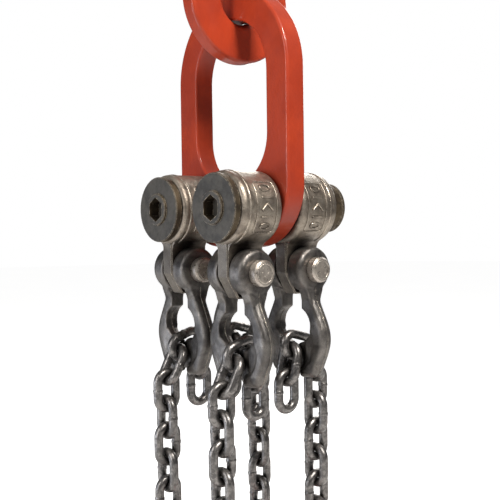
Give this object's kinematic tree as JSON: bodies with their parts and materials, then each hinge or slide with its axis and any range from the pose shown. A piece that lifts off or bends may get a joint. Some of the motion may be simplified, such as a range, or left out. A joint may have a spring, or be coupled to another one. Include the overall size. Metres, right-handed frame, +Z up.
{
  "type": "four leg chain sling",
  "caption": "Chain sling head: a round master ring carries a long red hanger link, whose axles hold swinging hubs with shortening clutches, chain legs and latched sling hooks.",
  "frame": {"origin": "top of the master ring's hole, where a crane hook bears; the sling hangs below it", "axes": "+Z up along the pull, +X across the two axles, +Y along the axles; the front hubs are at -Y"},
  "size_m": [0.2472, 0.2786, 1.1201],
  "materials": {
    "red_paint": "glossy red-orange paint",
    "red_hook_paint": "glossy red-orange paint",
    "forged_hub_steel": "forged grey steel with a fine grain",
    "forged_clutch_steel": "dark forged steel, worn bright on its edges",
    "chain_steel": "dark oiled chain steel with a cool sheen",
    "blackened_steel": "turned, blackened steel with small pits",
    "pin_steel": "bare steel with a bronze tint",
    "pressed_latch_steel": "zinc plated sheet steel"
  },
  "bodies": {
    "master_ring": {"master_ring": "red_paint"},
    "hanger_link": {"hanger_link": "red_paint"},
    "axle_left": {"axle_left": "blackened_steel", "axle_nut_left": "blackened_steel"},
    "axle_right": {"axle_right": "blackened_steel", "axle_nut_right": "blackened_steel"},
    "hub_front_left": {"hub_front_left": "forged_hub_steel"},
    "clutch_front_left": {"clutch_front_left": "forged_clutch_steel", "clutch_pin_front_left": "pin_steel", "pocket_links_front_left": "chain_steel"},
    "dead_end_front_left": {"dead_end_link_front_left": "chain_steel"},
    "live_link_1_front_left": {"live_link_1_front_left": "chain_steel"},
    "live_link_2_front_left": {"live_link_2_front_left": "chain_steel"},
    "live_link_3_front_left": {"live_link_3_front_left": "chain_steel"},
    "live_links_4_5_front_left": {"live_links_4_5_front_left": "chain_steel"},
    "live_links_6_8_front_left": {"live_links_6_8_front_left": "chain_steel"},
    "hook_front_left": {"hook_front_left": "red_hook_paint", "hook_pins_front_left": "pin_steel"},
    "latch_front_left": {"latch_front_left": "pressed_latch_steel"},
    "hub_front_right": {"hub_front_right": "forged_hub_steel"},
    "clutch_front_right": {"clutch_front_right": "forged_clutch_steel", "clutch_pin_front_right": "pin_steel", "pocket_links_front_right": "chain_steel"},
    "dead_end_front_right": {"dead_end_link_front_right": "chain_steel"},
    "live_link_1_front_right": {"live_link_1_front_right": "chain_steel"},
    "live_link_2_front_right": {"live_link_2_front_right": "chain_steel"},
    "live_link_3_front_right": {"live_link_3_front_right": "chain_steel"},
    "live_links_4_5_front_right": {"live_links_4_5_front_right": "chain_steel"},
    "live_links_6_8_front_right": {"live_links_6_8_front_right": "chain_steel"},
    "hook_front_right": {"hook_front_right": "red_hook_paint", "hook_pins_front_right": "pin_steel"},
    "latch_front_right": {"latch_front_right": "pressed_latch_steel"},
    "hub_rear_left": {"hub_rear_left": "forged_hub_steel"},
    "clutch_rear_left": {"clutch_rear_left": "forged_clutch_steel", "clutch_pin_rear_left": "pin_steel", "pocket_links_rear_left": "chain_steel"},
    "dead_end_rear_left": {"dead_end_link_rear_left": "chain_steel"},
    "live_link_1_rear_left": {"live_link_1_rear_left": "chain_steel"},
    "live_link_2_rear_left": {"live_link_2_rear_left": "chain_steel"},
    "live_link_3_rear_left": {"live_link_3_rear_left": "chain_steel"},
    "live_links_4_5_rear_left": {"live_links_4_5_rear_left": "chain_steel"},
    "live_links_6_8_rear_left": {"live_links_6_8_rear_left": "chain_steel"},
    "hook_rear_left": {"hook_rear_left": "red_hook_paint", "hook_pins_rear_left": "pin_steel"},
    "latch_rear_left": {"latch_rear_left": "pressed_latch_steel"},
    "hub_rear_right": {"hub_rear_right": "forged_hub_steel"},
    "clutch_rear_right": {"clutch_rear_right": "forged_clutch_steel", "clutch_pin_rear_right": "pin_steel", "pocket_links_rear_right": "chain_steel"},
    "dead_end_rear_right": {"dead_end_link_rear_right": "chain_steel"},
    "live_link_1_rear_right": {"live_link_1_rear_right": "chain_steel"},
    "live_link_2_rear_right": {"live_link_2_rear_right": "chain_steel"},
    "live_link_3_rear_right": {"live_link_3_rear_right": "chain_steel"},
    "live_links_4_5_rear_right": {"live_links_4_5_rear_right": "chain_steel"},
    "live_links_6_8_rear_right": {"live_links_6_8_rear_right": "chain_steel"},
    "hook_rear_right": {"hook_rear_right": "red_hook_paint", "hook_pins_rear_right": "pin_steel"},
    "latch_rear_right": {"latch_rear_right": "pressed_latch_steel"}
  },
  "joints": [
    {"name": "hanger_link_swing", "type": "hinge", "parent": "master_ring", "child": "hanger_link", "pos_m": [0, 0, -0.133], "axis": [1, 0, 0], "range_deg": [-60, 60]},
    {"name": "axle_left_turn", "type": "hinge", "parent": "hanger_link", "child": "axle_left", "pos_m": [-0.0635, 0, -0.42739], "axis": [0, 1, 0], "continuous": true},
    {"name": "axle_right_turn", "type": "hinge", "parent": "hanger_link", "child": "axle_right", "pos_m": [0.0635, 0, -0.42739], "axis": [0, 1, 0], "continuous": true},
    {"name": "hub_front_left_swing", "type": "hinge", "parent": "hanger_link", "child": "hub_front_left", "pos_m": [-0.0635, -0.052, -0.42739], "axis": [0, 1, 0], "range_deg": [-0.8, 75]},
    {"name": "clutch_front_left_swing", "type": "hinge", "parent": "hub_front_left", "child": "clutch_front_left", "pos_m": [-0.0635, -0.052, -0.51339], "axis": [-1, 0, 0], "range_deg": [-2, 90]},
    {"name": "dead_end_front_left_swing", "type": "hinge", "parent": "clutch_front_left", "child": "dead_end_front_left", "pos_m": [-0.0635, -0.03267, -0.65804], "axis": [0, -0.9763, -0.2164], "range_deg": [-30, 30]},
    {"name": "live_link_1_front_left_bend", "type": "hinge", "parent": "clutch_front_left", "child": "live_link_1_front_left", "pos_m": [-0.0635, -0.06217, -0.62642], "axis": [-1, 0, 0], "range_deg": [0, 55]},
    {"name": "live_link_2_front_left_bend", "type": "hinge", "parent": "live_link_1_front_left", "child": "live_link_2_front_left", "pos_m": [-0.0635, -0.0803, -0.66051], "axis": [0, 0.8829, -0.4695], "range_deg": [-10, 50]},
    {"name": "live_link_3_front_left_bend", "type": "hinge", "parent": "live_link_2_front_left", "child": "live_link_3_front_left", "pos_m": [-0.0635, -0.08734, -0.69735], "axis": [1, 0, 0], "range_deg": [-50, 4]},
    {"name": "live_links_4_5_front_left_bend", "type": "hinge", "parent": "live_link_3_front_left", "child": "live_links_4_5_front_left", "pos_m": [-0.0635, -0.08734, -0.73595], "axis": [0, -1, 0], "range_deg": [-50, 15]},
    {"name": "live_links_6_8_front_left_bend", "type": "hinge", "parent": "live_links_4_5_front_left", "child": "live_links_6_8_front_left", "pos_m": [-0.0635, -0.08734, -0.81315], "axis": [0, 1, 0], "range_deg": [-20, 50]},
    {"name": "hook_front_left_swing", "type": "hinge", "parent": "live_links_6_8_front_left", "child": "hook_front_left", "pos_m": [-0.0635, -0.08734, -0.92905], "axis": [-1, 0, 0], "range_deg": [-50, 60]},
    {"name": "latch_front_left_open", "type": "hinge", "parent": "hook_front_left", "child": "latch_front_left", "pos_m": [-0.0635, -0.08934, -0.97505], "axis": [1, 0, 0], "range_deg": [0, 45], "stiffness_Nm_per_rad": 0.3, "springref_deg": -17.19},
    {"name": "hub_front_right_swing", "type": "hinge", "parent": "hanger_link", "child": "hub_front_right", "pos_m": [0.0635, -0.052, -0.42739], "axis": [0, -1, 0], "range_deg": [-0.8, 75]},
    {"name": "clutch_front_right_swing", "type": "hinge", "parent": "hub_front_right", "child": "clutch_front_right", "pos_m": [0.0635, -0.052, -0.51339], "axis": [-1, 0, 0], "range_deg": [-2, 90]},
    {"name": "dead_end_front_right_swing", "type": "hinge", "parent": "clutch_front_right", "child": "dead_end_front_right", "pos_m": [0.0635, -0.03267, -0.65804], "axis": [0, -0.9763, -0.2164], "range_deg": [-30, 30]},
    {"name": "live_link_1_front_right_bend", "type": "hinge", "parent": "clutch_front_right", "child": "live_link_1_front_right", "pos_m": [0.0635, -0.06217, -0.62642], "axis": [-1, 0, 0], "range_deg": [0, 55]},
    {"name": "live_link_2_front_right_bend", "type": "hinge", "parent": "live_link_1_front_right", "child": "live_link_2_front_right", "pos_m": [0.0635, -0.0803, -0.66051], "axis": [0, -0.8829, 0.4695], "range_deg": [-10, 50]},
    {"name": "live_link_3_front_right_bend", "type": "hinge", "parent": "live_link_2_front_right", "child": "live_link_3_front_right", "pos_m": [0.0635, -0.08734, -0.69735], "axis": [1, 0, 0], "range_deg": [-50, 4]},
    {"name": "live_links_4_5_front_right_bend", "type": "hinge", "parent": "live_link_3_front_right", "child": "live_links_4_5_front_right", "pos_m": [0.0635, -0.08734, -0.73595], "axis": [0, 1, 0], "range_deg": [-50, 15]},
    {"name": "live_links_6_8_front_right_bend", "type": "hinge", "parent": "live_links_4_5_front_right", "child": "live_links_6_8_front_right", "pos_m": [0.0635, -0.08734, -0.81315], "axis": [0, -1, 0], "range_deg": [-20, 50]},
    {"name": "hook_front_right_swing", "type": "hinge", "parent": "live_links_6_8_front_right", "child": "hook_front_right", "pos_m": [0.0635, -0.08734, -0.92905], "axis": [-1, 0, 0], "range_deg": [-50, 60]},
    {"name": "latch_front_right_open", "type": "hinge", "parent": "hook_front_right", "child": "latch_front_right", "pos_m": [0.0635, -0.08934, -0.97505], "axis": [1, 0, 0], "range_deg": [0, 45], "stiffness_Nm_per_rad": 0.3, "springref_deg": -17.19},
    {"name": "hub_rear_left_swing", "type": "hinge", "parent": "hanger_link", "child": "hub_rear_left", "pos_m": [-0.0635, 0.052, -0.42739], "axis": [0, 1, 0], "range_deg": [-0.8, 75]},
    {"name": "clutch_rear_left_swing", "type": "hinge", "parent": "hub_rear_left", "child": "clutch_rear_left", "pos_m": [-0.0635, 0.052, -0.51339], "axis": [1, 0, 0], "range_deg": [-2, 90]},
    {"name": "dead_end_rear_left_swing", "type": "hinge", "parent": "clutch_rear_left", "child": "dead_end_rear_left", "pos_m": [-0.0635, 0.03267, -0.65804], "axis": [0, -0.9763, 0.2164], "range_deg": [-30, 30]},
    {"name": "live_link_1_rear_left_bend", "type": "hinge", "parent": "clutch_rear_left", "child": "live_link_1_rear_left", "pos_m": [-0.0635, 0.06217, -0.62642], "axis": [1, 0, 0], "range_deg": [0, 55]},
    {"name": "live_link_2_rear_left_bend", "type": "hinge", "parent": "live_link_1_rear_left", "child": "live_link_2_rear_left", "pos_m": [-0.0635, 0.0803, -0.66051], "axis": [0, 0.8829, 0.4695], "range_deg": [-10, 50]},
    {"name": "live_link_3_rear_left_bend", "type": "hinge", "parent": "live_link_2_rear_left", "child": "live_link_3_rear_left", "pos_m": [-0.0635, 0.08734, -0.69735], "axis": [-1, 0, 0], "range_deg": [-50, 4]},
    {"name": "live_links_4_5_rear_left_bend", "type": "hinge", "parent": "live_link_3_rear_left", "child": "live_links_4_5_rear_left", "pos_m": [-0.0635, 0.08734, -0.73595], "axis": [0, -1, 0], "range_deg": [-50, 15]},
    {"name": "live_links_6_8_rear_left_bend", "type": "hinge", "parent": "live_links_4_5_rear_left", "child": "live_links_6_8_rear_left", "pos_m": [-0.0635, 0.08734, -0.81315], "axis": [0, 1, 0], "range_deg": [-20, 50]},
    {"name": "hook_rear_left_swing", "type": "hinge", "parent": "live_links_6_8_rear_left", "child": "hook_rear_left", "pos_m": [-0.0635, 0.08734, -0.92905], "axis": [1, 0, 0], "range_deg": [-50, 60]},
    {"name": "latch_rear_left_open", "type": "hinge", "parent": "hook_rear_left", "child": "latch_rear_left", "pos_m": [-0.0635, 0.08934, -0.97505], "axis": [-1, 0, 0], "range_deg": [0, 45], "stiffness_Nm_per_rad": 0.3, "springref_deg": -17.19},
    {"name": "hub_rear_right_swing", "type": "hinge", "parent": "hanger_link", "child": "hub_rear_right", "pos_m": [0.0635, 0.052, -0.42739], "axis": [0, -1, 0], "range_deg": [-0.8, 75]},
    {"name": "clutch_rear_right_swing", "type": "hinge", "parent": "hub_rear_right", "child": "clutch_rear_right", "pos_m": [0.0635, 0.052, -0.51339], "axis": [1, 0, 0], "range_deg": [-2, 90]},
    {"name": "dead_end_rear_right_swing", "type": "hinge", "parent": "clutch_rear_right", "child": "dead_end_rear_right", "pos_m": [0.0635, 0.03267, -0.65804], "axis": [0, -0.9763, 0.2164], "range_deg": [-30, 30]},
    {"name": "live_link_1_rear_right_bend", "type": "hinge", "parent": "clutch_rear_right", "child": "live_link_1_rear_right", "pos_m": [0.0635, 0.06217, -0.62642], "axis": [1, 0, 0], "range_deg": [0, 55]},
    {"name": "live_link_2_rear_right_bend", "type": "hinge", "parent": "live_link_1_rear_right", "child": "live_link_2_rear_right", "pos_m": [0.0635, 0.0803, -0.66051], "axis": [0, -0.8829, -0.4695], "range_deg": [-10, 50]},
    {"name": "live_link_3_rear_right_bend", "type": "hinge", "parent": "live_link_2_rear_right", "child": "live_link_3_rear_right", "pos_m": [0.0635, 0.08734, -0.69735], "axis": [-1, 0, 0], "range_deg": [-50, 4]},
    {"name": "live_links_4_5_rear_right_bend", "type": "hinge", "parent": "live_link_3_rear_right", "child": "live_links_4_5_rear_right", "pos_m": [0.0635, 0.08734, -0.73595], "axis": [0, 1, 0], "range_deg": [-50, 15]},
    {"name": "live_links_6_8_rear_right_bend", "type": "hinge", "parent": "live_links_4_5_rear_right", "child": "live_links_6_8_rear_right", "pos_m": [0.0635, 0.08734, -0.81315], "axis": [0, -1, 0], "range_deg": [-20, 50]},
    {"name": "hook_rear_right_swing", "type": "hinge", "parent": "live_links_6_8_rear_right", "child": "hook_rear_right", "pos_m": [0.0635, 0.08734, -0.92905], "axis": [1, 0, 0], "range_deg": [-50, 60]},
    {"name": "latch_rear_right_open", "type": "hinge", "parent": "hook_rear_right", "child": "latch_rear_right", "pos_m": [0.0635, 0.08934, -0.97505], "axis": [-1, 0, 0], "range_deg": [0, 45], "stiffness_Nm_per_rad": 0.3, "springref_deg": -17.19}
  ]
}
